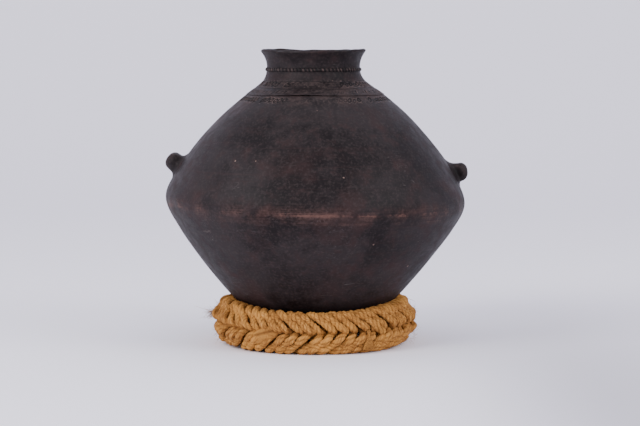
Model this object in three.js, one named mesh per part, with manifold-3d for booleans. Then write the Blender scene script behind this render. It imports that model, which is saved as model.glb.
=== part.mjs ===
// A burnished pottery jar that stands in a ring of plaited rope.
// Millimetres, +Z up. The origin is on the table, under the middle of the ring.

import * as THREE from 'three';
import { mergeVertices } from 'three/addons/utils/BufferGeometryUtils.js';
import Module from 'manifold-3d';

// Round base and lower wall: heights above the table and radii outside
const baseHeight = 10;
const bowlHeight = 170;
const bowlRadius = 129.2;
const bowlTopHeight = 52;
const lowerWallHeight = 80;
const lowerWallRadius = 108.1;

// Belly, and the wall just under and over it
const bellyHeight = 135.5;
const bellyRadius = 140.4;
const underBellyDrop = 27.5;
const underBellyInset = 12.4;
const overBellyRise = 24.5;
const overBellyInset = 10.1;

// Shoulder and collar
const shoulderRise = 64.5;
const shoulderRadius = 100.4;
const upperShoulderRise = 82.5;
const upperShoulderRadius = 82.9;
const seamRise = 97.9;
const seamRadius = 64.4;
const collarHeight = 13.6;
const collarTopRadius = 47.3;

// Neck, from the top of the collar to the rim
const neckHeight = 28;
const throatRise = 11;
const throatRadius = 43.9;
const lipHeight = 8;
const lipBottomRadius = 45.5;
const rimRadius = 50.4;

// Heights that follow
const shoulderHeight = bellyHeight + shoulderRise;
const upperShoulderHeight = bellyHeight + upperShoulderRise;
const seamHeight = bellyHeight + seamRise;
const collarTopHeight = seamHeight + collarHeight;
const throatHeight = collarTopHeight + throatRise;
const rimHeight = collarTopHeight + neckHeight;

// Thickness of the clay
const wallThickness = 6;
const lipThickness = 3.4;
const collarStep = 0.4;

// Clay joints between the sections that the potter luted together
const clayJoint = 0.3;
const baseTopHeight = 36;
const bandBelow = 19.5;
const bandAbove = 16.5;
const bellyBandBottom = bellyHeight - bandBelow;
const bellyBandTop = bellyHeight + bandAbove;

// Notched fillet round the neck
const cordonDrop = 2.8;
const cordonHeight = throatHeight - cordonDrop;
const cordonWidth = 4.4;
const cordonThickness = 1.4;
const cordonEdge = 0.5;
const cordonFlat = 1.8;
const cordonNotchDepth = 0.7;
const cordonNotches = 76;

// Pinched ears: a knob on a short neck, that points up and out of the wall
const lugKnobRadius = 8.5;
const lugNeckRadius = 7.4;
const lugFootRadius = 13;
const lugRoot = 8;
const lugSpread = 1.3;
const lugRise = THREE.MathUtils.degToRad(26);
const leftLugRise = 30.5;
const rightLugRise = 21.5;
const leftLug = { side: -1, height: bellyHeight + leftLugRise, reach: 6 };
const rightLug = { side: 1, height: bellyHeight + rightLugRise, reach: 3.8 };

// How far the hand-built clay departs from a true round
const bellyTilt = 2.8;
const bellyTiltSpread = 34;
const neckLean = 1.8;
const lowerShift = 0.9;
const lowerShiftHeight = 100;
const lowerShiftSpread = 34;
const upperShift = -0.8;
const upperShiftHeight = 194;
const upperShiftSpread = 18;
const rimWave = 0.6;
const rimWaveTurn = 0.6;

// Plaited ring
const strands = 3;
const ropesInStrand = 3;
const plaitPeriods = 6;
const ropeDiameter = 4.2;
const plaitHeight = 41;
const plaitDepth = 9.5;
const plaitFullness = 2;
const plaitRoundness = 2.5;
const ropeSpacing = THREE.MathUtils.degToRad(40);
const sideRise = 5.2;
const sideRiseStart = -0.6;
const sideSpread = 2.2;
const joinGap = 0.8;
const seatGap = 0.3;
const footCut = ropeDiameter / 6;

// Fineness of the faceted surfaces
const roundSteps = 48;
const wallPitch = 13.5;
const bellyPitch = 6;
const neckPitch = 3.5;
const insideSteps = 400;
const slopeStep = 0.01;
const lugSteps = 18;
const lugRings = 12;
const ropeSteps = 90;
const ropeSides = 5;
const seatSteps = 60;

const wasm = await Module();
wasm.setup();

// Clay outline

const bowlRadiusAt = (z) => {
  const rise = (baseHeight + bowlHeight - z) / bowlHeight;
  return bowlRadius * Math.sqrt(Math.max(0, 1 - rise * rise));
};

const stations = [
  [bowlTopHeight, bowlRadiusAt(bowlTopHeight)],
  [lowerWallHeight, lowerWallRadius],
  [bellyHeight - underBellyDrop, bellyRadius - underBellyInset],
  [bellyHeight, bellyRadius],
  [bellyHeight + overBellyRise, bellyRadius - overBellyInset],
  [shoulderHeight, shoulderRadius],
  [upperShoulderHeight, upperShoulderRadius],
  [seamHeight, seamRadius],
  [collarTopHeight, collarTopRadius],
  [throatHeight, throatRadius],
  [rimHeight - lipHeight, lipBottomRadius],
  [rimHeight, rimRadius],
];

// Slope of the wall at a station, from its neighbours
const slopes = stations.map(([z, r], i) => {
  if (i === 0) return (bowlRadiusAt(z) - bowlRadiusAt(z - 1));
  if (i === stations.length - 1) return (r - stations[i - 1][1]) / (z - stations[i - 1][0]);
  const below = (r - stations[i - 1][1]) / (z - stations[i - 1][0]);
  const above = (stations[i + 1][1] - r) / (stations[i + 1][0] - z);
  const weight = (stations[i + 1][0] - z) / (stations[i + 1][0] - stations[i - 1][0]);
  return weight * below + (1 - weight) * above;
});

function outerRadius(z) {
  if (z <= bowlTopHeight) return bowlRadiusAt(z);
  let i = 0;
  while (i < stations.length - 2 && z > stations[i + 1][0]) i += 1;
  const [z0, r0] = stations[i];
  const [z1, r1] = stations[i + 1];
  const span = z1 - z0;
  const t = (z - z0) / span;
  const start = r0 * (1 + 2 * t) * (1 - t) ** 2 + slopes[i] * span * t * (1 - t) ** 2;
  const end = r1 * t * t * (3 - 2 * t) + slopes[i + 1] * span * t * t * (t - 1);
  return start + end;
}

function thicknessAt(z) {
  const t = THREE.MathUtils.smoothstep(z, throatHeight, rimHeight);
  return wallThickness + (lipThickness - wallThickness) * t;
}

// The inside of the wall lies square to the outside, one thickness in
const insidePoints = [];
const firstInside = baseHeight + 2 * slopeStep;
for (let i = 0; i <= insideSteps; i += 1) {
  const z = firstInside + (rimHeight - firstInside) * (i / insideSteps) ** 2;
  const slope = (outerRadius(z + slopeStep) - outerRadius(z - slopeStep)) / (2 * slopeStep);
  const length = Math.hypot(1, slope);
  const thickness = thicknessAt(z);
  insidePoints.push([z + (slope * thickness) / length, outerRadius(z) - thickness / length]);
}

function innerRadius(z) {
  for (let i = 1; i < insidePoints.length; i += 1) {
    const [z0, r0] = insidePoints[i - 1];
    const [z1, r1] = insidePoints[i];
    if (z1 >= z && z1 > z0) return Math.max(0, r0 + ((r1 - r0) * (z - z0)) / (z1 - z0));
  }
  return insidePoints[insidePoints.length - 1][1];
}

// The potter's hand: the belly tilts, the neck leans and the rim waves
function handmade(geometry) {
  const places = geometry.attributes.position;
  for (let i = 0; i < places.count; i += 1) {
    const x = places.getX(i);
    const y = places.getY(i);
    const z = places.getZ(i);
    const around = Math.atan2(y, x);
    const fade = Math.exp(-(((z - bellyHeight) / bellyTiltSpread) ** 2));
    const lean = neckLean * THREE.MathUtils.smoothstep(z, seamHeight, cordonHeight);
    const shift = lowerShift * Math.exp(-(((z - lowerShiftHeight) / lowerShiftSpread) ** 2))
      + upperShift * Math.exp(-(((z - upperShiftHeight) / upperShiftSpread) ** 2));
    const wave = rimWave * THREE.MathUtils.smoothstep(z, throatHeight, rimHeight);
    places.setX(i, x - lean + shift);
    places.setZ(i, z - (bellyTilt * fade * x) / bellyRadius + wave * Math.cos(2 * around + rimWaveTurn));
  }
  return geometry;
}

function turned(points, segments = roundSteps) {
  const lathe = new THREE.LatheGeometry(points, segments);
  lathe.rotateX(Math.PI / 2);
  lathe.deleteAttribute('normal');
  lathe.deleteAttribute('uv');
  return mergeVertices(lathe, 1e-4);
}

// Heights of the rings of points in one section of wall
function ringHeights(bottom, top, pitch) {
  const rings = Math.ceil((top - bottom) / pitch);
  return Array.from({ length: rings + 1 }, (_, i) => bottom + ((top - bottom) * i) / rings);
}

// One section of wall between two heights, closed all round
function wallSection(bottom, top, pitch, proud = () => 0) {
  const heights = ringHeights(bottom, top, pitch);
  const outside = heights.map((z) => new THREE.Vector2(outerRadius(z) + proud(z), z));
  const inside = heights.map((z) => new THREE.Vector2(innerRadius(z), z)).reverse();
  return handmade(turned([...outside, ...inside, outside[0].clone()]));
}

function bowlSection(top, rings) {
  const points = [];
  for (let i = 0; i <= rings; i += 1) {
    const z = baseHeight + (top - baseHeight) * (i / rings) ** 2;
    points.push(new THREE.Vector2(i === 0 ? 0 : outerRadius(z), z));
  }
  const floor = baseHeight + wallThickness;
  for (let i = rings; i >= 0; i -= 1) {
    const z = floor + (top - floor) * (i / rings) ** 2;
    points.push(new THREE.Vector2(i === 0 ? 0 : innerRadius(z), z));
  }
  return handmade(turned(points));
}

// Sections that the ears stand on
const half = clayJoint / 2;
const bandHeights = ringHeights(bellyBandBottom + half, bellyBandTop - half, bellyPitch);
const upperHeights = ringHeights(bellyBandTop + half, seamHeight - half, wallPitch);

// Solids for cutting

function solidOf(geometry) {
  const merged = geometry.clone();
  merged.deleteAttribute('normal');
  merged.deleteAttribute('uv');
  const closed = mergeVertices(merged, 1e-4);
  return new wasm.Manifold(new wasm.Mesh({
    numProp: 3,
    vertProperties: new Float32Array(closed.attributes.position.array),
    triVerts: new Uint32Array(closed.index.array),
  }));
}

function geometryOf(solid) {
  const mesh = solid.getMesh();
  const geometry = new THREE.BufferGeometry();
  geometry.setAttribute('position', new THREE.BufferAttribute(mesh.vertProperties, 3));
  geometry.setIndex(new THREE.BufferAttribute(mesh.triVerts, 1));
  return geometry;
}

// The outside of the belly band and upper wall, grown by the clay joint, that cuts the ears
function wallCutter() {
  const heights = [...bandHeights, ...upperHeights];
  const points = heights.map((z) => new THREE.Vector2(outerRadius(z) + clayJoint, z));
  points.unshift(new THREE.Vector2(0, heights[0]));
  points.push(new THREE.Vector2(0, heights[heights.length - 1]));
  return solidOf(handmade(turned(points)));
}

// An ear, turned about its own axis, spread sideways, and cut to sit on the wall
function lug({ side, height, reach }) {
  const outline = new THREE.SplineCurve([
    new THREE.Vector2(lugFootRadius, -lugRoot / 2),
    new THREE.Vector2(lugNeckRadius, reach - lugKnobRadius / 2),
    new THREE.Vector2(lugKnobRadius, reach),
    new THREE.Vector2(lugKnobRadius * 0.72, reach + lugKnobRadius * 0.7),
    new THREE.Vector2(0, reach + lugKnobRadius),
  ]);
  const root = [new THREE.Vector2(0, -lugRoot), new THREE.Vector2(lugFootRadius, -lugRoot)];
  const knob = turned([...root, ...outline.getPoints(lugRings)], lugSteps);
  knob.scale(1, lugSpread, 1);
  knob.rotateY(Math.PI / 2 - lugRise);
  knob.translate(outerRadius(height), 0, height);
  if (side < 0) knob.rotateZ(Math.PI);
  return geometryOf(solidOf(knob).subtract(wallCutter()));
}

// The fillet: a thin ring whose outside is notched all round
function cordon() {
  const segments = cordonNotches * 2;
  const low = cordonHeight - cordonWidth / 2;
  const high = cordonHeight + cordonWidth / 2;
  const middle = outerRadius(cordonHeight) + clayJoint + cordonThickness;
  const seat = ringHeights(low, high, cordonWidth / 2)
    .map((z) => new THREE.Vector2(outerRadius(z) + clayJoint, z));
  const outside = [
    new THREE.Vector2(seat[0].x + cordonEdge, low),
    new THREE.Vector2(middle, cordonHeight - cordonFlat / 2),
    new THREE.Vector2(middle, cordonHeight + cordonFlat / 2),
    new THREE.Vector2(seat[seat.length - 1].x + cordonEdge, high),
  ];
  const points = [...outside, ...seat.reverse(), outside[0].clone()];
  const ring = turned(points, segments);
  const places = ring.attributes.position;
  for (let i = 0; i < places.count; i += 1) {
    const x = places.getX(i);
    const y = places.getY(i);
    const radius = Math.hypot(x, y);
    const step = Math.round((Math.atan2(y, x) / (2 * Math.PI)) * segments);
    if (radius > middle - slopeStep && Math.abs(step) % 2 === 1) {
      const scale = (radius - cordonNotchDepth) / radius;
      places.setX(i, x * scale);
      places.setY(i, y * scale);
    }
  }
  return handmade(ring);
}

// Plait

const plaitReach = (plaitHeight - ropeDiameter) / 2;

// From the middle of a rope to one of its flat sides
const ropeFlat = (ropeDiameter / 2) * Math.cos(Math.PI / ropeSides);

// How far a rope lies out from the ring's radius, and its height. Side is 1 under an ear and 0 at the front.
function ropeWave(phase, side) {
  const up = Math.sin(phase);
  const wave = plaitDepth * Math.sin(2 * phase) + plaitFullness * Math.sin(4 * phase)
    + plaitRoundness * Math.sin(6 * phase);
  const rise = sideRise * side * THREE.MathUtils.smoothstep(up, sideRiseStart, 1);
  return {
    outward: sideSpread * side - wave,
    height: plaitReach + ropeDiameter / 2 - footCut + plaitReach * up + rise,
  };
}

// The ring is laid up against the round base, so its radius follows from the wall
function seatedRadius() {
  const clear = ropeFlat + seatGap;
  let radius = 0;
  for (const side of [0, 0.25, 0.5, 0.75, 1]) {
    for (let i = 0; i < seatSteps; i += 1) {
      const { outward, height } = ropeWave((2 * Math.PI * i) / seatSteps, side);
      for (let j = -seatSteps; j <= seatSteps; j += 1) {
        const away = (clear * j) / seatSteps;
        const z = Math.max(baseHeight, height + away);
        const across = Math.sqrt(Math.max(0, clear ** 2 - (height - z) ** 2));
        radius = Math.max(radius, outerRadius(z) + across - outward);
      }
    }
  }
  return radius;
}

const ringRadius = seatedRadius();

// Middle of a rope, at an angle round the ring
function ropeMiddle(strand, rope, angle) {
  const phase = plaitPeriods * angle + (2 * Math.PI * strand) / strands + (rope - 1) * ropeSpacing;
  const { outward, height } = ropeWave(phase, Math.cos(angle) ** 2);
  const radius = ringRadius + outward;
  return new THREE.Vector3(radius * Math.cos(angle), radius * Math.sin(angle), height);
}

// Each strand ends at its own place, where its ropes butt together in the join
const joinAngles = [-0.93, Math.PI * 0.97, 1.7];

function ropePath(strand, rope) {
  const start = joinAngles[strand];
  const half = joinGap / ringRadius / 2;
  const points = [];
  for (let i = 0; i <= ropeSteps; i += 1) {
    const angle = start + half + ((2 * Math.PI - 2 * half) * i) / ropeSteps;
    points.push(ropeMiddle(strand, rope, angle));
  }
  return points;
}

function ropeGeometry(strand, rope) {
  const path = new THREE.CatmullRomCurve3(ropePath(strand, rope), false, 'centripetal');
  const corners = Array.from({ length: ropeSides }, (_, i) => {
    const turn = (2 * Math.PI * i) / ropeSides;
    return new THREE.Vector2(Math.cos(turn), Math.sin(turn)).multiplyScalar(ropeDiameter / 2);
  });
  const tube = new THREE.ExtrudeGeometry(new THREE.Shape(corners), {
    steps: ropeSteps,
    bevelEnabled: false,
    extrudePath: path,
  });
  const width = 2 * (ringRadius + bellyRadius);
  const table = new THREE.BoxGeometry(width, width, ropeDiameter * 2);
  table.translate(0, 0, -ropeDiameter);
  return geometryOf(solidOf(tube).subtract(solidOf(table)));
}

// Object

const clay = { color: 0x3b3335, roughness: 0.5, metalness: 0 };
const fibre = { color: 0xb37c42, roughness: 0.9, metalness: 0 };
const jarOnRing = new THREE.Group();

function add(name, geometry, look) {
  const mesh = new THREE.Mesh(geometry, new THREE.MeshStandardMaterial(look));
  mesh.name = name;
  jarOnRing.add(mesh);
}

const collarProud = (z) => collarStep * (1 - THREE.MathUtils.smoothstep(z, seamHeight, collarTopHeight));

add('jar_base', bowlSection(baseTopHeight - half, 5), clay);
add('lower_wall', wallSection(baseTopHeight + half, bellyBandBottom - half, wallPitch), clay);
add('belly_band', wallSection(bellyBandBottom + half, bellyBandTop - half, bellyPitch), clay);
add('upper_wall', wallSection(bellyBandTop + half, seamHeight - half, wallPitch), clay);
add('shoulder_collar', wallSection(seamHeight + half, collarTopHeight - half, bellyPitch, collarProud), clay);
add('neck', wallSection(collarTopHeight + half, rimHeight, neckPitch), clay);
add('neck_cordon', cordon(), clay);
add('lug_left', lug(leftLug), clay);
add('lug_right', lug(rightLug), clay);

for (let strand = 0; strand < strands; strand += 1) {
  for (let rope = 0; rope < ropesInStrand; rope += 1) {
    add(`strand_${strand + 1}_rope_${rope + 1}`, ropeGeometry(strand, rope), fibre);
  }
}

// Least gaps, in millimetres, between the ropes and from the ropes to the jar
const routeSteps = 480;
const nearbySteps = 14;
const routes = [];
for (let strand = 0; strand < strands; strand += 1) {
  for (let rope = 0; rope < ropesInStrand; rope += 1) {
    const points = [];
    for (let i = 0; i < routeSteps; i += 1) {
      points.push(ropeMiddle(strand, rope, (2 * Math.PI * i) / routeSteps));
    }
    routes.push(points);
  }
}
let leastRopeGap = Infinity;
let leastJarGap = Infinity;
routes.forEach((one, a) => {
  routes.slice(a + 1).forEach((other) => {
    one.forEach((point, i) => {
      for (let s = -nearbySteps; s <= nearbySteps; s += 1) {
        const gap = point.distanceTo(other[(i + s + routeSteps) % routeSteps]) - ropeDiameter;
        leastRopeGap = Math.min(leastRopeGap, gap);
      }
    });
  });
  one.forEach((point) => {
    for (let z = baseHeight; z < plaitHeight + sideRise + ropeDiameter; z += 1) {
      const away = Math.hypot(Math.hypot(point.x, point.y) - outerRadius(z), point.z - z);
      leastJarGap = Math.min(leastJarGap, away - ropeFlat);
    }
  });
});
console.log(`ring radius ${ringRadius.toFixed(2)}`);
console.log(`least gap between ropes ${leastRopeGap.toFixed(2)}, from rope to jar ${leastJarGap.toFixed(2)}`);

export default jarOnRing;
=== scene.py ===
# A burnished pottery jar standing in a ring of plaited rope, in metres.
import math

import bmesh
import bpy
import numpy as np
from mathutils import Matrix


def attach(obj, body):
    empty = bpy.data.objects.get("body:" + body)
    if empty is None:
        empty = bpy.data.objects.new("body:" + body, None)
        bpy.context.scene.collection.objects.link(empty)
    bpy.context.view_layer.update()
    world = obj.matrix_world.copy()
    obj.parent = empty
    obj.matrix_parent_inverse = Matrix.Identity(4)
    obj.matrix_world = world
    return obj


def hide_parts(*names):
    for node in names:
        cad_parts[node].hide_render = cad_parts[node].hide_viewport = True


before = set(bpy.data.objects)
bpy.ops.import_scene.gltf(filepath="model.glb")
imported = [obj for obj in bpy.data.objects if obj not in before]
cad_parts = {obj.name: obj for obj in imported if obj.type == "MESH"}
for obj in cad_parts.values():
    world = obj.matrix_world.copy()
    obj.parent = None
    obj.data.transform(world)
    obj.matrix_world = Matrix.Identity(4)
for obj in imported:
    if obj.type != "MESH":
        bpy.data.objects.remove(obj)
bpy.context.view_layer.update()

mm = 0.001

# Camera, at the photograph's angle
image_width = 640
camera_distance = 2.060
camera_height = 0.295
camera_aside = 0.0045
camera_pitch = math.radians(4.807)
focal_pixels = 2199.7

camera_data = bpy.data.cameras.new("camera")
camera_data.sensor_width = 36
camera_data.lens = focal_pixels / image_width * camera_data.sensor_width
camera_data.clip_end = 50
camera = bpy.data.objects.new("camera", camera_data)
camera.location = (camera_aside, -camera_distance, camera_height)
camera.rotation_euler = (math.pi / 2 - camera_pitch, 0, 0)
bpy.context.scene.collection.objects.link(camera)
bpy.context.scene.camera = camera

# Outline of the clay: heights and radii of the outer wall
base_height = 10 * mm
bowl_height = 170 * mm
bowl_radius = 129.2 * mm
bowl_top = 52 * mm
belly_height = 135.5 * mm
belly_radius = 140.4 * mm
over_belly = 160 * mm
upper_shoulder = 218 * mm
seam_height = 233.4 * mm
collar_top = 247 * mm
throat_height = 258 * mm
rim_height = 275 * mm
wall_thickness = 6 * mm
lip_thickness = 3.4 * mm
collar_step = 0.4 * mm
cordon_height = 256.6 * mm
cordon_width = 3.4 * mm
cordon_proud = 1.3 * mm
cordon_notches = 76
base_top = 36 * mm
band_bottom = 116 * mm
band_top = 152 * mm


def bowl_radius_at(z):
    rise = (base_height + bowl_height - z) / bowl_height
    return bowl_radius * np.sqrt(np.maximum(0, 1 - rise * rise))


# Height and radius of each place that the outer wall passes through
outline_stations = [
    (bowl_top, float(bowl_radius_at(bowl_top))),
    (80 * mm, 108.1 * mm),
    (108 * mm, 128 * mm),
    (belly_height, belly_radius),
    (over_belly, 130.3 * mm),
    (200 * mm, 100.4 * mm),
    (upper_shoulder, 82.9 * mm),
    (seam_height, 64.4 * mm),
    (collar_top, 47.3 * mm),
    (throat_height, 43.9 * mm),
    (267 * mm, 45.5 * mm),
    (rim_height, 50.4 * mm),
]
station_heights, station_radii = np.array(outline_stations).T


def station_slopes():
    steps = np.diff(station_heights)
    pitches = np.diff(station_radii) / steps
    inner = (steps[1:] * pitches[:-1] + steps[:-1] * pitches[1:]) / (steps[1:] + steps[:-1])
    first = float(bowl_radius_at(bowl_top) - bowl_radius_at(bowl_top - mm)) / mm
    return np.concatenate([[first], inner, [pitches[-1]]])


slopes = station_slopes()


def outer_radius(z):
    z = np.asarray(z, float)
    i = np.clip(np.searchsorted(station_heights, z, side="right") - 1, 0, len(station_heights) - 2)
    span = station_heights[i + 1] - station_heights[i]
    t = (z - station_heights[i]) / span
    start = station_radii[i] * (1 + 2 * t) * (1 - t) ** 2 + slopes[i] * span * t * (1 - t) ** 2
    end = station_radii[i + 1] * t * t * (3 - 2 * t) + slopes[i + 1] * span * t * t * (t - 1)
    return np.where(z <= bowl_top, bowl_radius_at(z), start + end)


def smooth(x, low, high):
    """Rises from 0 at low to 1 at high."""
    t = np.clip((x - low) / (high - low), 0, 1)
    return t * t * (3 - 2 * t)


def hill(x, middle, spread):
    """1 at the middle, and falls to 0 on both sides."""
    return np.exp(-((x - middle) / spread) ** 2)


def wall_slope(z):
    step = 0.01 * mm
    return (outer_radius(z + step) - outer_radius(z - step)) / (2 * step)


def inside_table():
    """Heights and radii of the inner wall, measured square to the outer one."""
    share = np.linspace(0, 1, 600) ** 2
    lowest = base_height + 0.02 * mm
    z = lowest + (rim_height - lowest) * share
    slope = wall_slope(z)
    length = np.hypot(1, slope)
    thickness = wall_thickness + (lip_thickness - wall_thickness) * smooth(z, throat_height, rim_height)
    height = z + slope * thickness / length
    order = np.argsort(height)
    return height[order], (outer_radius(z) - thickness / length)[order]


inside_heights, inside_radii = inside_table()


def inner_radius(z):
    return np.maximum(0, np.interp(z, inside_heights, inside_radii))


# The potter's hand, the same for every clay piece
belly_tilt = 2.8 * mm
belly_tilt_spread = 34 * mm
neck_lean = 1.8 * mm
lower_shift = 0.9 * mm
lower_shift_height = 100 * mm
lower_shift_spread = 34 * mm
upper_shift = -0.8 * mm
upper_shift_height = 194 * mm
upper_shift_spread = 18 * mm
rim_wave = 0.6 * mm
wall_waviness = 0.22 * mm
wall_dip = 0.3 * mm


def handmade(p):
    """The turned shape made uneven: a tilted belly, a neck that leans and a wavy rim."""
    x, y, z = p[:, 0], p[:, 1], p[:, 2]
    around = np.arctan2(y, x)
    fade = hill(z, belly_height, belly_tilt_spread)
    lean = neck_lean * smooth(z, seam_height, cordon_height)
    shift = lower_shift * hill(z, lower_shift_height, lower_shift_spread)
    shift += upper_shift * hill(z, upper_shift_height, upper_shift_spread)
    wave = rim_wave * smooth(z, throat_height, rim_height)
    pinch = 0.45 * np.sin(5 * around + 2.4) + 0.35 * np.sin(9 * around + 0.5) + 0.2 * np.sin(17 * around)
    uneven = wall_waviness * (np.sin(3 * around + 1.3 + 26 * z) + 0.7 * np.sin(7 * around - 40 * z + 2)
                              + 0.6 * np.sin(11 * around + 75 * z) + 0.5 * np.sin(2 * around - 150 * z))
    uneven = uneven * smooth(z, 60 * mm, 90 * mm) * (1 - 0.6 * smooth(z, collar_top, rim_height)) - wall_dip
    radius = np.hypot(x, y)
    scale = 1 + uneven / np.maximum(radius, 5 * mm)
    return np.stack([
        x * scale - lean + shift,
        y * scale,
        z - belly_tilt * fade * x / belly_radius + wave * (np.cos(2 * around + 0.6) + pinch),
    ], 1)


# Shader maths as Python expressions
class Socket:
    def __init__(self, tree, socket):
        self.tree = tree
        self.socket = socket

    def maths(self, operation, other=None, swap=False):
        values = [self] if other is None else ([other, self] if swap else [self, other])
        return self.tree.node("ShaderNodeMath", {"operation": operation}, *values)

    def __add__(self, other):
        return self.maths("ADD", other)

    def __sub__(self, other):
        return self.maths("SUBTRACT", other)

    def __mul__(self, other):
        return self.maths("MULTIPLY", other)

    def __radd__(self, other):
        return self.maths("ADD", other, True)

    def __rsub__(self, other):
        return self.maths("SUBTRACT", other, True)

    def size(self):
        return self.maths("ABSOLUTE")


class Finish:
    """One procedural material and the nodes in it."""

    def __init__(self, name, roughness):
        self.material = bpy.data.materials.new(name)
        self.material.use_nodes = True
        self.nodes = self.material.node_tree.nodes
        self.links = self.material.node_tree.links
        self.shader = next(n for n in self.nodes if n.type == "BSDF_PRINCIPLED")
        self.shader.inputs["Roughness"].default_value = roughness

    def node(self, kind, settings=None, *values, out=0, **named):
        made = self.nodes.new(kind)
        for key, value in (settings or {}).items():
            setattr(made, key, value)
        for key, value in list(enumerate(values)) + list(named.items()):
            target = made.inputs[key.replace("_", " ") if isinstance(key, str) else key]
            if isinstance(value, Socket):
                self.links.new(value.socket, target)
            else:
                target.default_value = value
        return Socket(self, made.outputs[out])

    def set(self, name, value):
        if isinstance(value, Socket):
            self.links.new(value.socket, self.shader.inputs[name])
        else:
            self.shader.inputs[name].default_value = value

    def place(self):
        return self.node("ShaderNodeTexCoord", out="Object")

    def parts(self, vector):
        split = self.nodes.new("ShaderNodeSeparateXYZ")
        self.links.new(vector.socket, split.inputs[0])
        return [Socket(self, output) for output in split.outputs]

    def stretched(self, vector, scale):
        return self.node("ShaderNodeMapping", {}, Vector=vector, Scale=scale)

    def noise(self, vector, scale, detail=4, roughness=0.5, distortion=0):
        return self.node("ShaderNodeTexNoise", {}, Vector=vector, Scale=scale, Detail=detail,
                         Roughness=roughness, Distortion=distortion)

    def ramp(self, value, low, high):
        return self.node("ShaderNodeMapRange", {"interpolation_type": "SMOOTHSTEP"}, Value=value,
                         From_Min=low, From_Max=high)

    def mix(self, factor, first, second, blend="MIX"):
        made = self.nodes.new("ShaderNodeMix")
        made.data_type = "RGBA"
        made.blend_type = blend
        for index, value in ((0, factor), (6, first), (7, second)):
            if isinstance(value, Socket):
                self.links.new(value.socket, made.inputs[index])
            else:
                made.inputs[index].default_value = value
        return Socket(self, made.outputs[2])

    def bump(self, height, strength, distance):
        made = self.node("ShaderNodeBump", {}, Strength=strength, Distance=distance, Height=height)
        self.links.new(made.socket, self.shader.inputs["Normal"])

    def attribute(self, name):
        made = self.nodes.new("ShaderNodeAttribute")
        made.attribute_name = name
        return Socket(self, made.outputs["Fac"])


def rgb(red, green, blue):
    return (red, green, blue, 1.0)


def burnished_clay():
    f = Finish("burnished_clay", 0.5)
    place = f.place()
    streaks = f.noise(f.stretched(place, (7, 7, 380)), 1.0, 3)
    fine_streaks = f.noise(f.stretched(place, (26, 26, 1300)), 1.0, 2)
    cloud = f.noise(place, 16, 5, 0.55, 0.4)
    patches = f.noise(place, 24, 4, 0.55, 0.3)
    grain = f.noise(place, 420, 3, 0.6)
    speckle = f.noise(place, 1100, 2)
    blotch = f.noise(place, 95, 4, 0.6, 0.3)
    dark = rgb(0.0048, 0.0027, 0.0030)
    grey = rgb(0.0190, 0.0142, 0.0146)
    red = rgb(0.0310, 0.0130, 0.0118)
    pale = rgb(0.0460, 0.0330, 0.0310)
    colour = f.mix(f.ramp(cloud * 0.6 + blotch * 0.4, 0.38, 0.62), dark, grey)
    colour = f.mix(f.ramp(patches, 0.50, 0.70) * 0.42, colour, red)
    colour = f.mix(f.ramp(blotch, 0.52, 0.68) * 0.30, colour, red)
    colour = f.mix(f.ramp(streaks, 0.55, 0.75) * 0.22, colour, red)
    colour = f.mix(f.ramp(fine_streaks, 0.6, 0.8) * 0.22, colour, pale)
    colour = f.mix(f.ramp(grain, 0.46, 0.72) * 0.36, colour, pale)
    scratch = f.noise(f.stretched(place, (30, 30, 190)), 1.0, 1, 0.5, 1.5)
    thin = 1 - f.ramp((scratch - 0.5).size(), 0.0, 0.006)
    where = f.ramp(f.noise(place, 28, 2), 0.58, 0.66)
    colour = f.mix(thin * where * 0.45, colour, rgb(0.12, 0.10, 0.095))
    cells = f.node("ShaderNodeTexVoronoi", {}, Vector=place, Scale=75.0, Randomness=1.0)
    chip = 1 - f.ramp(cells + f.noise(place, 900, 2) * 0.08, 0.085, 0.115)
    chip = chip * f.ramp(f.noise(place, 21, 1), 0.60, 0.64)
    colour = f.mix(chip * 0.7, colour, rgb(0.24, 0.16, 0.13))
    # Rubbed red clay on the belly lines, band and rim, and a painted highlight on the cordon's beads
    wear_and_highlight = f.attribute("rub_and_highlight") * f.ramp(f.noise(place, 46, 5, 0.65), 0.40, 0.66)
    colour = f.mix(wear_and_highlight * f.ramp(grain + fine_streaks, 0.70, 1.15), colour, rgb(0.125, 0.062, 0.048))
    decorated = f.attribute("decorated")
    colour = f.mix(decorated * f.ramp(grain + blotch, 0.8, 1.2) * 0.45, colour, rgb(0.046, 0.032, 0.029))
    # Painted highlight: the rims of the impressed marks, the tops of the cordon's beads and the top of each
    # ear are lightened
    painted_highlight = f.attribute("painted_highlight")
    colour = f.mix(painted_highlight * f.ramp(grain + blotch, 0.8, 1.15) * 0.7, colour, rgb(0.140, 0.092, 0.080))
    # Painted shade: the impressed marks, the grooves round the collar, the cordon's notches and the ears'
    # pinches are darkened towards black
    dent_and_shade = f.attribute("dent_and_shade")
    colour = f.mix(f.ramp(dent_and_shade, 0.1, 0.8) * 0.92, colour, rgb(0.004, 0.003, 0.003))
    f.set("Base Color", colour)
    f.set("Roughness", 0.42 + f.ramp(blotch, 0.3, 0.7) * 0.18 + speckle * 0.12)
    f.set("Specular IOR Level", 0.13)
    height = streaks * 0.5 + fine_streaks * 0.35 + grain * 0.25 + speckle * 0.12
    height = height - thin * where * 0.3 - chip * 1.2
    f.bump(height, 0.35, 0.4 * mm)
    return f.material


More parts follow.
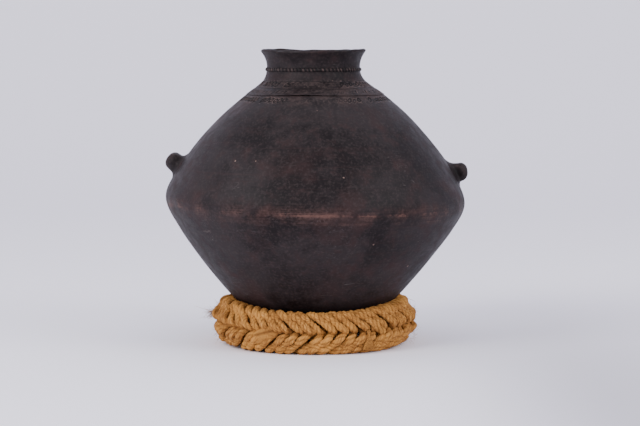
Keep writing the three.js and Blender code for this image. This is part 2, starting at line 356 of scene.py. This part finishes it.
def rope_fibre():
    f = Finish("rope_fibre", 0.9)
    place = f.place()
    along = f.parts(f.node("ShaderNodeUVMap", {"uv_map": "UVMap"}))
    run = f.node("ShaderNodeCombineXYZ", {}, along[0] * 110.0, along[1] * 20.0 + along[0] * 200.0, 0.0)
    fibres = f.noise(run, 1.0, 4, 0.65)
    fuzz = f.noise(place, 900, 3, 0.65)
    tone = f.noise(place, 42, 3)
    # Painted shade: the grooves between the yarns are darkened
    crease_shade = f.attribute("crease_shade")
    light = f.ramp(fibres * 0.7 + fuzz * 0.3, 0.38, 0.62)
    colour = f.mix(light, rgb(0.195, 0.074, 0.016), rgb(0.520, 0.238, 0.058))
    colour = f.mix(f.ramp(tone, 0.42, 0.70) * 0.5, colour, rgb(0.640, 0.300, 0.066))
    colour = f.mix(f.ramp(fibres, 0.58, 0.74) * 0.6, colour, rgb(0.740, 0.450, 0.175))
    colour = f.mix(crease_shade * 0.8, colour, rgb(0.120, 0.040, 0.008))
    f.set("Base Color", colour)
    f.set("Specular IOR Level", 0.12)
    f.bump(fibres * 0.9 + fuzz * 0.4, 0.9, 1 * mm)
    return f.material


# Pieces from a grid that is bent round and welded
def wrapped(name, around, along, place):
    """A mesh whose grid points go where place puts them; place also gives the marks they carry."""
    shape = bmesh.new()
    shape.loops.layers.uv.new("UVMap")
    bmesh.ops.create_grid(shape, x_segments=around, y_segments=along, size=0.5, calc_uvs=True)
    mesh = bpy.data.meshes.new(name)
    shape.to_mesh(mesh)
    shape.free()
    flat = np.empty(len(mesh.vertices) * 3)
    mesh.vertices.foreach_get("co", flat)
    flat = flat.reshape(-1, 3)
    points, marks = place(flat[:, 0] + 0.5, flat[:, 1] + 0.5)
    mesh.vertices.foreach_set("co", points.ravel())
    for mark, values in marks.items():
        mesh.attributes.new(mark, "FLOAT", "POINT").data.foreach_set("value", values)
    shape = bmesh.new()
    shape.from_mesh(mesh)
    bmesh.ops.remove_doubles(shape, verts=shape.verts, dist=0.002 * mm)
    bmesh.ops.recalc_face_normals(shape, faces=shape.faces)
    for face in shape.faces:
        face.smooth = True
    shape.to_mesh(mesh)
    shape.free()
    return mesh


def dress(name, mesh, material, body, slot, *nodes):
    """A piece that rides with its body and stands for the named nodes of the CAD model."""
    piece = bpy.data.objects.new(name, mesh)
    bpy.context.scene.collection.objects.link(piece)
    mesh.materials.append(material)
    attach(piece, body)
    if nodes:
        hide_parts(*nodes)
    return piece


# Rows of marks: height, number round the jar, half width, half height, lean, depth, ring rather than stroke
marks_below_seam = [(229.2 * mm, 92, 1.6 * mm, 2.6 * mm, 0.35, 0.7 * mm, True)]
marks_on_collar = [
    (236.6 * mm, 84, 1.1 * mm, 2.4 * mm, 0.55, 0.65 * mm, False),
    (243.0 * mm, 66, 1.5 * mm, 2.6 * mm, 0.5, 0.65 * mm, True),
]
collar_lines = [239.7 * mm, 246.0 * mm]
collar_line_depth = 0.35 * mm
front = -math.pi / 2


def chance_of(cell, step, offset, spread):
    """A number from 0 to 1 for each mark, the same at every run."""
    return np.modf(np.abs(np.sin(cell * step + offset) * spread))[0]


def stamped(around, z, rows):
    """How deep the impressed marks are, and how far their edges stand up. The depth also sets the painted
    shade in the marks, and the edges set a painted highlight on their rims.
    """
    dent_and_shade = np.zeros_like(z)
    edge = np.zeros_like(z)
    slope = np.hypot(1, wall_slope(z))
    for height, count, half_width, half_height, lean, depth, ring in rows:
        pitch = 2 * math.pi / count
        cell = np.round(around / pitch)
        chance = chance_of(cell, 12.9898, height * 7000, 43758.5453)
        chance_two = chance_of(cell, 78.233, height * 9000, 12543.21)
        up = (z - height - (chance - 0.5) * 1.0 * mm) * slope
        aside = (around - cell * pitch) * outer_radius(z) - lean * (0.4 + chance_two) * up
        aside = aside + (chance_two - 0.5) * 1.2 * mm
        wide = half_width * (0.75 + 0.4 * chance)
        tall = half_height * (0.8 + 0.3 * chance_two)
        reach = np.hypot(aside / wide, up / tall)
        within = 1 - smooth(np.abs(up), 0.75 * half_height, half_height)
        if ring:
            form = hill(reach, 1, 0.32)
            lip = hill(reach, 1.5, 0.2) + 0.7 * hill(reach, 0, 0.4)
        else:
            form = hill(aside, 0, 0.55 * half_width) * within
            lip = hill(aside, 1.2 * half_width, 0.4 * half_width) * within
        wear_and_highlight = 0.22 + 0.78 * smooth(np.abs(around - front - 0.05), 0.2, 0.75)
        strength = wear_and_highlight * smooth(chance + 0.5 * chance_two, 0.05, 0.7)
        dent_and_shade = np.maximum(dent_and_shade, form * strength * depth)
        edge = np.maximum(edge, lip * strength)
    if len(rows) > 1:
        for height in collar_lines:
            wander = 0.35 * mm * np.sin(5 * around + height * 4000)
            dent_and_shade = np.maximum(dent_and_shade, collar_line_depth * hill(z - height, wander, 0.35 * mm))
    return dent_and_shade, edge * (dent_and_shade < 0.2 * mm)


def seam_gap(around):
    """The crack under the collar, widest at the front."""
    near_front = hill(around - front, -0.12, 0.42)
    ragged = 0.5 + 0.5 * np.sin(23 * around) * np.sin(9 * around + 1)
    return (0.12 + 0.75 * near_front) * mm + 0.25 * mm * ragged * (0.3 + near_front)


# Where the clay is rubbed red: lines round the belly as height, spread and strength, a band and the rim
rubbed_lines = [(130.7 * mm, 1.1 * mm, 0.8), (123.1 * mm, 0.8 * mm, 0.6)]
rubbed_band = (131 * mm, 6 * mm, 0.38)
rubbed_rim = 2.5 * mm


def belly_rub(turn, z):
    near_front = 0.3 + 0.6 * hill(turn - front, 0.3, 0.55)
    lines = sum(strength * hill(z, height, spread) for height, spread, strength in rubbed_lines)
    height, spread, strength = rubbed_band
    band = strength * hill(z, height, spread)
    rim = 0.6 * smooth(z, rim_height - rubbed_rim, rim_height)
    return lines * near_front + band + rim


fine_spacing = 0.4 * mm
inside_spacing = 4 * mm
lip_round = 1.3 * mm


def wall_outline(bottom, top, spacing, lip=False, step=0, fine_from=None):
    """Radii and heights round a wall's section, up outside and down inside, and 1 where it is outside."""
    coarse_top = fine_from or top
    outside = np.linspace(bottom, coarse_top, max(3, int((coarse_top - bottom) / spacing)))
    if fine_from:
        outside = np.concatenate([outside[:-1], np.arange(fine_from, top, fine_spacing), [top]])
    inside = np.linspace(top, bottom, max(3, int((top - bottom) / inside_spacing)))
    proud = step * (1 - smooth(outside, seam_height, collar_top))
    if lip:
        outside = outside[outside < top - lip_round]
        turn = np.linspace(0, math.pi, 12)[1:-1]
        last = outside[-1]
        below = inside[inside < last]
        middle = (outer_radius(last) + inner_radius(last)) / 2
        half = (outer_radius(last) - inner_radius(last)) / 2
        radii = np.concatenate([outer_radius(outside), middle + half * np.cos(turn), inner_radius(below)])
        heights = np.concatenate([outside, last + (top - last) * np.sin(turn), below])
    else:
        radii = np.concatenate([outer_radius(outside) + proud, inner_radius(inside)])
        heights = np.concatenate([outside, inside])
    outer = np.concatenate([np.ones(len(outside)), np.zeros(len(heights) - len(outside))])
    return radii, heights, outer


def wall(name, bottom, top, spacing=2.5 * mm, around=240, rows=(), lip=False, step=0, fine_from=None):
    radii, heights, outer = wall_outline(bottom, top, spacing, lip, step, fine_from)
    radii = np.append(radii, radii[0])
    heights = np.append(heights, heights[0])
    outer = np.append(outer, outer[0])

    def place(u, v):
        angle = 2 * math.pi * u
        i = np.rint(v * (len(radii) - 1)).astype(int)
        r, z, out = radii[i], heights[i], outer[i]
        turn = np.where(angle > math.pi, angle - 2 * math.pi, angle)
        dent_and_shade, edge = stamped(turn, z, rows)
        dent_and_shade = dent_and_shade * out
        if step:
            z = z + seam_gap(turn) * (1 - smooth(z, seam_height, seam_height + 3 * mm))
        depth = dent_and_shade - 0.15 * mm * edge * out
        points = handmade(np.stack([(r - depth) * np.cos(angle), (r - depth) * np.sin(angle), z], 1))
        # The marks carry painted shade in their hollows and a painted highlight on their rims
        return points, {
            "dent_and_shade": dent_and_shade / (0.45 * mm),
            "painted_highlight": edge * out,
            "rub_and_highlight": belly_rub(turn, z) * out,
            "decorated": smooth(z, 222 * mm, 230 * mm) * (1 - smooth(z, 246 * mm, 249 * mm)) * out,
        }

    mesh = wrapped(name, around, len(radii) - 1, place)
    mesh.set_sharp_from_angle(angle=math.radians(50))
    return dress(name, mesh, clay, "jar", "burnished_clay", node_of[name])


node_of = {
    "lower_wall_skin": "lower_wall",
    "belly_skin": "belly_band",
    "upper_wall_skin": "upper_wall",
    "collar_skin": "shoulder_collar",
    "neck_skin": "neck",
}

clay = burnished_clay()
fibre = rope_fibre()


def base():
    """The round bottom, closed in the middle outside and inside."""
    count = 28
    share = np.linspace(0, 1, count)
    outside = base_height + (base_top - base_height) * share ** 2
    floor = base_height + wall_thickness
    inside = (floor + (base_top - floor) * share ** 2)[::-1]
    radii = np.concatenate([outer_radius(outside), inner_radius(inside)])
    radii[0] = 0
    radii[-1] = 0
    heights = np.concatenate([outside, inside])

    def place(u, v):
        angle = 2 * math.pi * u
        i = np.rint(v * (len(radii) - 1)).astype(int)
        points = np.stack([radii[i] * np.cos(angle), radii[i] * np.sin(angle), heights[i]], 1)
        return handmade(points), {"dent_and_shade": np.zeros_like(u), "rub_and_highlight": np.zeros_like(u)}

    mesh = wrapped("base_skin", 240, len(radii) - 1, place)
    mesh.set_sharp_from_angle(angle=math.radians(50))
    return dress("base_skin", mesh, clay, "jar", "burnished_clay", "jar_base")


base()
wall("lower_wall_skin", base_top, band_bottom)
wall("belly_skin", band_bottom, band_top, 1.2 * mm)
wall("upper_wall_skin", band_top, seam_height, 3 * mm, 1200, marks_below_seam, fine_from=223 * mm)
wall("collar_skin", seam_height, collar_top, fine_spacing, 1200, marks_on_collar, step=collar_step)
wall("neck_skin", collar_top, rim_height, 0.8 * mm, 300, lip=True)


def cordon():
    """The notched fillet round the neck."""
    sides = 14

    def place(u, v):
        angle = 2 * math.pi * u
        section = 2 * math.pi * v
        up = np.cos(section)
        out = np.sin(section)
        z = cordon_height + up * cordon_width / 2
        loose = 0.5 * np.sin(7 * angle) + 0.4 * np.sin(13 * angle + 1)
        notch = 0.5 + 0.5 * np.cos(cordon_notches * angle + 0.9 * up + loose)
        bead = np.where(out > 0, out * (0.35 + 0.65 * (1 - notch ** 2)), 0)
        r = outer_radius(z) + 0.1 * mm + bead * cordon_proud
        points = handmade(np.stack([r * np.cos(angle), r * np.sin(angle), z], 1))
        # Painted shade darkens the notches and, a little, the whole fillet; a painted highlight lightens
        # the bead tops, unevenly round the neck
        deep = np.where(out > 0, notch ** 2, 0)
        wear_and_highlight = 0.45 + 0.25 * np.sin(19 * angle + 2) + 0.2 * np.sin(31 * angle)
        bright = np.maximum(0, out) ** 2 * (1 - notch) ** 2 * wear_and_highlight
        return points, {"dent_and_shade": 0.25 + deep * 0.75 - bright, "painted_highlight": bright, "rub_and_highlight": 0.4 * bright}

    mesh = wrapped("cordon_skin", cordon_notches * 12, sides, place)
    return dress("cordon_skin", mesh, clay, "jar", "worn_clay", "neck_cordon")


# Pinched ears: a stub with a round end whose foot is smoothed out over the wall
lug_spread = 1.15


def spline(points, t):
    """A smooth curve through a few points, for t from 0 to 1."""
    points = np.array(points, float)
    ends = np.vstack([2 * points[0] - points[1], points, 2 * points[-1] - points[-2]])
    run = np.clip(t, 0, 1) * (len(points) - 1)
    i = np.minimum(run.astype(int), len(points) - 2)
    f = (run - i)[:, None]
    p0, p1, p2, p3 = ends[i], ends[i + 1], ends[i + 2], ends[i + 3]
    return 0.5 * (2 * p1 + (p2 - p0) * f + (2 * p0 - 5 * p1 + 4 * p2 - p3) * f ** 2
                  + (3 * p1 - p0 - 3 * p2 + p3) * f ** 3)


def lug(name, node, height, side, rise, pinch, half, length):
    """height is where the ear's middle line leaves the wall; pinch is how deep finger and thumb went."""
    # Radius and distance out from the wall, from the foot to the tip
    outline = [
        (2.1 * half, -0.7 * mm),
        (1.7 * half, 0.2 * mm),
        (1.38 * half, 1.4 * mm),
        (1.19 * half, 3.2 * mm),
        (1.09 * half, length - 7.4 * mm),
        (1.02 * half, length - 4.8 * mm),
        (0.85 * half, length - 2.6 * mm),
        (0.60 * half, length - 1.0 * mm),
        (0.30 * half, length - 0.2 * mm),
        (0, length),
    ]
    start = float(outer_radius(height))
    c, w = math.cos(rise), math.sin(rise)

    def place(u, v):
        angle = 2 * math.pi * u
        radius, out = spline(outline, v).T
        radius = np.where(v > 0.999, 0, np.maximum(radius, 0))
        across, up = np.cos(angle), np.sin(angle)
        thumb = hill(out, 3.6 * mm, 4.0 * mm) * hill(np.abs(across), 1, 0.3)
        dip = hill(out, 4.5 * mm, 3 * mm) * np.maximum(0, up) ** 4
        uneven = 1 + 0.04 * np.sin(3 * angle + 1) + 0.025 * np.sin(5 * angle + 1 + 300 * out)
        radius = radius * uneven * (1 - pinch * thumb) * (1 - 0.04 * dip)
        y = across * radius * lug_spread
        z = up * radius
        # How far along the ear the wall is, found in a few rounds
        away = np.zeros_like(out)
        for _ in range(8):
            x = start + away * c - z * w
            gap = np.hypot(x, y) - outer_radius(height + away * w + z * c)
            away = away - gap / (c + w * 0.75)
        out = out + away * (1 - smooth(out, 0, length * 0.7))
        points = np.stack([start + out * c - z * w, y, height + out * w + z * c], 1)
        if side < 0:
            points[:, :2] *= -1
        # Painted highlight along the top of the ear, and painted shade in the pinch
        top_highlight = np.maximum(0, up) ** 3 * smooth(out, 1 * mm, 4 * mm) * 0.3
        return handmade(points), {"dent_and_shade": 2.2 * pinch * thumb, "rub_and_highlight": np.zeros_like(out), "painted_highlight": top_highlight}

    mesh = wrapped(name, 96, 80, place)
    return dress(name, mesh, clay, "jar", "burnished_clay", node)


cordon()
lug("left_ear", "lug_left", 165.6 * mm, -1, math.radians(38), 0.14, 8.2 * mm, 14.2 * mm)
lug("right_ear", "lug_right", 161.4 * mm, 1, math.radians(9), 0.28, 7.5 * mm, 13.9 * mm)

# Plait: nine ropes, three to a strand, six full waves round the ring
ring_radius = 82.69 * mm
rope_radius = 3.45 * mm
plait_depth = 9.5 * mm
plait_fullness = 2 * mm
plait_roundness = 2.5 * mm
plait_waves = 6
rope_spacing = math.radians(37.5)
side_rise = 5.2 * mm
side_spread = 0.88 * mm
side_lift = 1.6 * mm
upper_lean = 4.5 * mm
lower_lean = 1.5 * mm
right_pull_in = 3 * mm
long_slack = 0.8 * mm
short_slack = 0.5 * mm
foot_sink = 0.5 * mm
strands = 3
ropes_in_strand = 3
plait_top = 39.5 * mm
plait_reach = (plait_top - 2 * rope_radius) / 2
plait_squeeze = 0.86
arm_straightness = 0.9
join_angles = [-0.93, math.pi * 0.97, 1.7]
join_gap = 0.8 * mm
yarns = 3
lay_length = 15 * mm
rope_steps = 720
rope_flatness = 0.92
jar_clearance = 0.35 * mm
jar_reach = (12 * mm, 62 * mm)


def rope_middle(strand, number, angle, ahead=0.0):
    """The middle of a rope. Each strand is pulled a little differently, and its middle rope rides proud."""
    loose = 0.10 * np.sin(3 * angle + 2.1 * strand + number)
    loose += 0.06 * np.sin(7 * angle + strand - 1.7 * number)
    start = 2 * math.pi * strand / strands
    phase = plait_waves * angle + start + (number - 1) * rope_spacing + loose + ahead
    proud = 1 if number == 1 else 0
    up = np.arcsin(arm_straightness * np.sin(phase)) / math.asin(arm_straightness)
    outward = -plait_depth * np.sin(2 * phase) - plait_fullness * np.sin(4 * phase)
    outward = (outward - plait_roundness * np.sin(6 * phase)) * (plait_squeeze + 0.14 * proud)
    side = np.cos(angle) ** 2
    rise = side_rise * side * smooth(up, -0.6, 1)
    slack = long_slack * np.sin(5 * angle + 1.9 * strand + 2.3 * number)
    slack += short_slack * np.sin(17 * angle + 2.9 * strand + 1.3 * number)
    lean = -upper_lean * side * smooth(up, 0.1, 1) - lower_lean * side * smooth(-up, 0.2, 1)
    radius = ring_radius + side_spread * side + outward + slack + lean
    radius = radius - right_pull_in * smooth(np.cos(angle), 0.7, 1) * smooth(-up, -0.2, 0.6)
    lift = side_lift * smooth(side, 0.2, 1) * (1 - smooth(up, -1, 0.2))
    height = plait_reach + rope_radius - foot_sink + plait_reach * up + rise + lift + 0.6 * slack
    return np.stack([radius * np.cos(angle), radius * np.sin(angle), height], 1)


def laid(name, middle, aside, radius, flat=1.0, lay=lay_length, lobes=0.26, sides=18, taper=None):
    """A laid rope or yarn round a route. aside is the way its broad side faces at each point."""
    steps = len(middle) - 1
    tangent = np.gradient(middle, axis=0)
    tangent /= np.linalg.norm(tangent, axis=1)[:, None]
    length = np.concatenate([[0], np.cumsum(np.linalg.norm(np.diff(middle, axis=0), axis=1))])
    side = aside - (aside * tangent).sum(1)[:, None] * tangent
    side /= np.linalg.norm(side, axis=1)[:, None]
    other = np.cross(tangent, side)
    size = np.full(steps + 1, radius) if taper is None else radius * taper

    def place(u, v):
        i = np.rint(u * steps).astype(int)
        turn = 2 * math.pi * v
        lobe = np.abs(np.cos(yarns * (turn - 2 * math.pi * length[i] / lay) / 2))
        closed = np.where((i == 0) | (i == steps), 0.0, 1.0)
        lumps = 0.16 * np.sin(length[i] / (3.1 * mm) + turn)
        lumps += 0.14 * np.sin(length[i] / (1.3 * mm) - 2 * turn)
        lumpy = 1 + lobes * lumps
        r = size[i] * (1 - lobes + lobes * lobe ** 0.6) * lumpy * closed
        wide = (r * np.cos(turn) / flat)[:, None] * side[i]
        deep = (r * np.sin(turn) * flat)[:, None] * other[i]
        points = pressed(middle[i] + wide + deep)
        # Painted shade goes into the grooves between the yarns
        return points, {"crease_shade": 1 - smooth(lobe, 0.05, 0.5)}

    return wrapped(name, steps, sides, place)


def rope(strand, number):
    """One rope of the ring, all the way round to its join."""
    half = join_gap / ring_radius / 2
    angles = join_angles[strand] + half + (2 * math.pi - 2 * half) * np.linspace(0, 1, rope_steps + 1)
    middle = rope_middle(strand, number, angles)
    aside = rope_middle(strand, number, angles, 0.1) - middle
    name = f"twisted_rope_{strand + 1}_{number + 1}"
    mesh = laid(name, middle, aside, rope_radius, rope_flatness)
    return dress(name, mesh, fibre, "ring", "plaited_rope", f"strand_{strand + 1}_rope_{number + 1}")


def pressed(points):
    """The rope flattens where it meets the table and the jar."""
    radius = np.hypot(points[:, 0], points[:, 1])
    low, high = jar_reach
    wall_there = outer_radius(np.clip(points[:, 2], low, high)) + jar_clearance
    inside = (radius < wall_there) & (points[:, 2] > low)
    push = np.where(inside, wall_there / np.maximum(radius, mm), 1)
    points[:, 0] *= push
    points[:, 1] *= push
    points[:, 2] = np.maximum(points[:, 2], 0)
    return points


for strand in range(strands):
    for number in range(ropes_in_strand):
        rope(strand, number)


# Loose ends and fibres
draw = np.random.default_rng(7)
ring_outside = ring_radius + 11.5 * mm
fibre_points = 6
up = np.array([0, 0, 1])


def on_ring(angle, height, proud=0.0):
    """A point on the outside of the ring."""
    radius = ring_outside + proud
    return np.array([radius * math.cos(angle), radius * math.sin(angle), height])


def ways(angle):
    """The ways out of the ring and along it, level with the table."""
    out = np.array([math.cos(angle), math.sin(angle), 0])
    along = np.array([-math.sin(angle), math.cos(angle), 0])
    return out, along


def unit(vector):
    return vector / np.linalg.norm(vector)


def joined(name, meshes):
    """One mesh out of several."""
    shape = bmesh.new()
    for mesh in meshes:
        shape.from_mesh(mesh)
        bpy.data.meshes.remove(mesh)
    whole = bpy.data.meshes.new(name)
    shape.to_mesh(whole)
    shape.free()
    return whole


def hair(start, direction, length, thickness, curl):
    """One thin fibre of three sides, that bends and ends in a point."""
    bend = draw.normal(size=3) * curl
    along = np.linspace(0, 1, fibre_points)[:, None]
    route = start + direction * length * along + bend * length * along ** 2
    route[:, 2] = np.maximum(route[:, 2], 0.4 * mm)
    aside = unit(np.cross(direction, [0.3, 0.2, 1.0]))
    asides = np.tile(aside, (fibre_points, 1))
    taper = np.linspace(1, 0.3, fibre_points)
    return laid("hair", route, asides, thickness, lobes=0.0, sides=3, taper=taper)


def hairs(name, starts, directions, lengths, thickness, curl):
    made = [hair(*each, thickness, curl) for each in zip(starts, directions, lengths)]
    return dress(name, joined(name, made), fibre, "ring", "plaited_rope")


def stray_fibres():
    starts, directions, lengths = [], [], []
    for _ in range(700):
        angle = draw.uniform(0, 2 * math.pi)
        height = draw.uniform(4, 38) * mm
        out, along = ways(angle)
        along = along * draw.choice([-1, 1])
        starts.append(on_ring(angle, height, -1.5 * mm))
        outward = out * draw.uniform(0.3, 1.0)
        rise = np.array([0, 0, draw.uniform(-0.8, 0.8)])
        directions.append(unit(outward + along + rise))
        lengths.append(draw.uniform(3, 8.5) * mm)
    hairs("stray_fibres", starts, directions, lengths, 0.13 * mm, 0.35)


def frayed_tuft():
    """The end of a rope that stands out and frays, on the left."""
    angle = math.pi * 0.985
    starts, directions, lengths = [], [], []
    for _ in range(70):
        starts.append(on_ring(angle, 27 * mm, -0.5 * mm) + draw.normal(size=3) * 1.6 * mm)
        directions.append(unit(np.array([-1, draw.normal() * 0.35, draw.normal() * 0.5])))
        lengths.append(draw.uniform(4, 11) * mm)
    hairs("frayed_tuft", starts, directions, lengths, 0.19 * mm, 0.35)


def tucked_end():
    """A cut rope end that comes out between the strands, with its yarns fanned below it."""
    angle = -0.985
    out, along = ways(angle)
    start = on_ring(angle, 24 * mm, -2.6 * mm)
    route = np.array([start + along * t * 13 * mm + out * (5.5 * t - 3 * t * t) * mm - up * 5 * t * t * mm
                      for t in np.linspace(0, 1, 40)])
    mesh = laid("tucked_end", route, np.tile(up, (40, 1)), 3.3 * mm, 1.0, sides=18)
    dress("tucked_end", mesh, fibre, "ring", "plaited_rope")
    for number in range(7):
        lean = (number - 3) / 3
        begin = on_ring(angle, 22 * mm, 0.4 * mm) - along * (1 + 0.5 * number) * mm
        ray = np.array([
            begin - up * 18 * t * mm + along * (7 * lean * t - 2) * mm + out * (3 * t - 3.4 * t * t) * mm
            for t in np.linspace(0, 1, 30)
        ])
        taper = np.sin(np.linspace(0.35, math.pi - 0.2, 30)) ** 0.5
        name = f"fanned_yarn_{number + 1}"
        mesh = laid(name, ray, np.tile(along, (30, 1)), 1.25 * mm, 1.0, 9 * mm, 0.15, 10, taper)
        dress(name, mesh, fibre, "ring", "plaited_rope")


def smooth_patch():
    """A length of untwisted fibre that lies flat over the plait, low on the left."""
    angle = front - 0.52
    out, along = ways(angle)
    middle = on_ring(angle, 17.5 * mm, -2.6 * mm)
    route = np.array([middle + along * t * 13 * mm + up * t * 5.5 * mm - out * 2.4 * t * t * mm
                      for t in np.linspace(-1, 1, 60)])
    taper = np.sqrt(np.maximum(0.02, 1 - np.linspace(-1, 1, 60) ** 4))
    mesh = laid("smooth_patch", route, np.tile(up, (60, 1)), 5.4 * mm, 0.80, 400 * mm, 0.05, 30, taper)
    dress("smooth_patch", mesh, fibre, "ring", "plaited_rope")


tucked_end()
smooth_patch()
frayed_tuft()
stray_fibres()

# Floor, backdrop and light, in metres
sweep_front = -3
sweep_length = 9
sweep_width = 14
bend_start = 4.6
bend = 1.2


def sweep():
    """One sheet of paper that lies on the floor and bends up behind the jar."""
    shape = bmesh.new()
    bmesh.ops.create_grid(shape, x_segments=1, y_segments=40, size=0.5)
    for vertex in shape.verts:
        run = (vertex.co.y + 0.5) * sweep_length
        vertex.co.x *= sweep_width
        turn = min(max((run - bend_start) / bend, 0), math.pi / 2)
        rest = max(0, run - bend_start - bend * math.pi / 2)
        vertex.co.y = sweep_front + min(run, bend_start) + bend * math.sin(turn)
        vertex.co.z = bend * (1 - math.cos(turn)) + rest
    mesh = bpy.data.meshes.new("sweep")
    shape.to_mesh(mesh)
    shape.free()
    for polygon in mesh.polygons:
        polygon.use_smooth = True
    paper = Finish("studio_paper", 0.9)
    where = paper.parts(paper.place())
    shade = paper.ramp(where[0], 0.05, 0.25) * paper.ramp(0.6 - where[1], 0.0, 1.0)
    shade = shade * (1 - paper.ramp(where[2], 0.0, 0.3))
    paper.set("Base Color", paper.mix(shade, rgb(0.960, 0.935, 1.0), rgb(0.560, 0.540, 0.600)))
    mesh.materials.append(paper.material)
    made = bpy.data.objects.new("sweep", mesh)
    bpy.context.scene.collection.objects.link(made)


def area_light(name, place, target, size, power):
    data = bpy.data.lights.new(name, "AREA")
    data.shape = "RECTANGLE"
    data.size, data.size_y = size
    data.energy = power
    made = bpy.data.objects.new(name, data)
    made.location = place
    direction = np.array(target) - np.array(place)
    flat = math.hypot(direction[0], direction[1])
    made.rotation_euler = (math.atan2(flat, -direction[2]), 0, math.atan2(-direction[0], direction[1]))
    bpy.context.scene.collection.objects.link(made)


sweep()
world = bpy.data.worlds.new("studio")
world.use_nodes = True
background = world.node_tree.nodes["Background"]
background.inputs["Color"].default_value = rgb(0.86, 0.86, 1.0)
background.inputs["Strength"].default_value = 1.20
bpy.context.scene.world = world
area_light("left_soft", (-1.7, -1.5, 1.3), (0, 0, 0.12), (1.2, 1.4), 50)
area_light("right_soft", (1.8, -1.2, 1.2), (0, 0, 0.12), (1.2, 1.4), 30)
area_light("front_fill", (0.2, -2.6, 1.9), (0, 0, 0.1), (1.6, 0.8), 3)
area_light("top_soft", (0, 0.2, 2.4), (0, 0, 0), (2, 2), 4)
